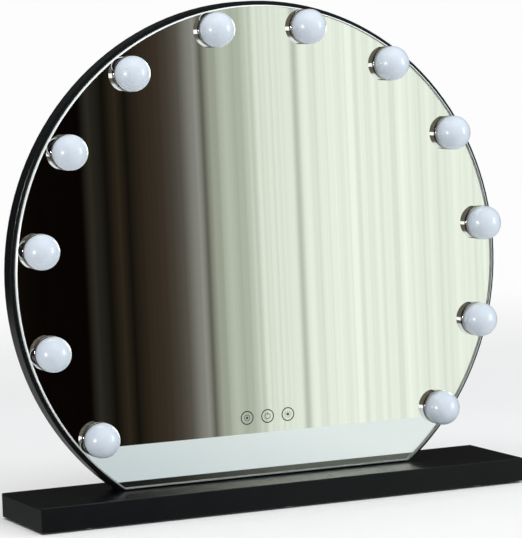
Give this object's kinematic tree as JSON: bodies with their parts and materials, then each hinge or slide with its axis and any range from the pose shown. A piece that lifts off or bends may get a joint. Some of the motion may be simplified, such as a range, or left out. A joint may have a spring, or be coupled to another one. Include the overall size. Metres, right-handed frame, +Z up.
{
  "type": "lighted vanity mirror",
  "caption": "Round make-up mirror standing on a flat rectangular base, with plug-in frosted globe bulbs round its rim and touch keys low in the glass.",
  "frame": {"origin": "middle of the base, at the level the rubber feet stand on", "axes": "+X to the right of a person facing the glass, +Y from that person towards the mirror's back, +Z up"},
  "size_m": [0.5, 0.108, 0.4725],
  "materials": {
    "black_paint": "satin gloss",
    "mirror_glass": "polished",
    "silvering": "mirror",
    "key_marks": "smoked, translucent",
    "foam_tape": "matt",
    "socket_metal": "nickel plated",
    "washer_plastic": "matt",
    "chrome": "polished",
    "opal": "frosted, translucent",
    "led_board": "white solder mask",
    "zinc_steel": "zinc plated",
    "black_steel": "black oxide",
    "inlet_plastic": "matt",
    "circuit_board": "satin solder mask",
    "wire_sleeve": "matt",
    "foot_rubber": "matt"
  },
  "bodies": {
    "mirror": {"frame_casing": "black_paint", "back_cover": "black_paint", "base_shell": "black_paint", "base_plate": "black_paint", "mirror_glass": "mirror_glass", "mirror_backing": "silvering", "touch_symbols": "key_marks", "glass_tape": "foam_tape", "bulb_sockets": "socket_metal", "socket_washers": "washer_plastic", "socket_nuts": "socket_metal", "back_cover_screws": "black_steel", "power_inlet": "inlet_plastic", "power_inlet_nut": "zinc_steel", "touch_pad": "foam_tape", "touch_board": "circuit_board", "driver_standoffs": "zinc_steel", "driver_board": "circuit_board", "wiring_loom": "wire_sleeve", "base_plate_screws": "black_steel", "rubber_feet": "foot_rubber", "anchor_strip": "zinc_steel", "mounting_washers": "zinc_steel", "mounting_bolts": "zinc_steel"},
    "bulb_01": {"bulb_01_globe": "opal", "bulb_01_collar": "chrome", "bulb_01_led_plug": "led_board"},
    "bulb_02": {"bulb_02_globe": "opal", "bulb_02_collar": "chrome", "bulb_02_led_plug": "led_board"},
    "bulb_03": {"bulb_03_globe": "opal", "bulb_03_collar": "chrome", "bulb_03_led_plug": "led_board"},
    "bulb_04": {"bulb_04_globe": "opal", "bulb_04_collar": "chrome", "bulb_04_led_plug": "led_board"},
    "bulb_05": {"bulb_05_globe": "opal", "bulb_05_collar": "chrome", "bulb_05_led_plug": "led_board"},
    "bulb_06": {"bulb_06_globe": "opal", "bulb_06_collar": "chrome", "bulb_06_led_plug": "led_board"},
    "bulb_07": {"bulb_07_globe": "opal", "bulb_07_collar": "chrome", "bulb_07_led_plug": "led_board"},
    "bulb_08": {"bulb_08_globe": "opal", "bulb_08_collar": "chrome", "bulb_08_led_plug": "led_board"},
    "bulb_09": {"bulb_09_globe": "opal", "bulb_09_collar": "chrome", "bulb_09_led_plug": "led_board"},
    "bulb_10": {"bulb_10_globe": "opal", "bulb_10_collar": "chrome", "bulb_10_led_plug": "led_board"},
    "bulb_11": {"bulb_11_globe": "opal", "bulb_11_collar": "chrome", "bulb_11_led_plug": "led_board"},
    "bulb_12": {"bulb_12_globe": "opal", "bulb_12_collar": "chrome", "bulb_12_led_plug": "led_board"}
  },
  "joints": [
    {"name": "bulb_01_pull", "type": "slide", "parent": "mirror", "child": "bulb_01", "axis": [0, -1, 0], "range_m": [0, 0.02]},
    {"name": "bulb_02_pull", "type": "slide", "parent": "mirror", "child": "bulb_02", "axis": [0, -1, 0], "range_m": [0, 0.02]},
    {"name": "bulb_03_pull", "type": "slide", "parent": "mirror", "child": "bulb_03", "axis": [0, -1, 0], "range_m": [0, 0.02]},
    {"name": "bulb_04_pull", "type": "slide", "parent": "mirror", "child": "bulb_04", "axis": [0, -1, 0], "range_m": [0, 0.02]},
    {"name": "bulb_05_pull", "type": "slide", "parent": "mirror", "child": "bulb_05", "axis": [0, -1, 0], "range_m": [0, 0.02]},
    {"name": "bulb_06_pull", "type": "slide", "parent": "mirror", "child": "bulb_06", "axis": [0, -1, 0], "range_m": [0, 0.02]},
    {"name": "bulb_07_pull", "type": "slide", "parent": "mirror", "child": "bulb_07", "axis": [0, -1, 0], "range_m": [0, 0.02]},
    {"name": "bulb_08_pull", "type": "slide", "parent": "mirror", "child": "bulb_08", "axis": [0, -1, 0], "range_m": [0, 0.02]},
    {"name": "bulb_09_pull", "type": "slide", "parent": "mirror", "child": "bulb_09", "axis": [0, -1, 0], "range_m": [0, 0.02]},
    {"name": "bulb_10_pull", "type": "slide", "parent": "mirror", "child": "bulb_10", "axis": [0, -1, 0], "range_m": [0, 0.02]},
    {"name": "bulb_11_pull", "type": "slide", "parent": "mirror", "child": "bulb_11", "axis": [0, -1, 0], "range_m": [0, 0.02]},
    {"name": "bulb_12_pull", "type": "slide", "parent": "mirror", "child": "bulb_12", "axis": [0, -1, 0], "range_m": [0, 0.02]}
  ]
}
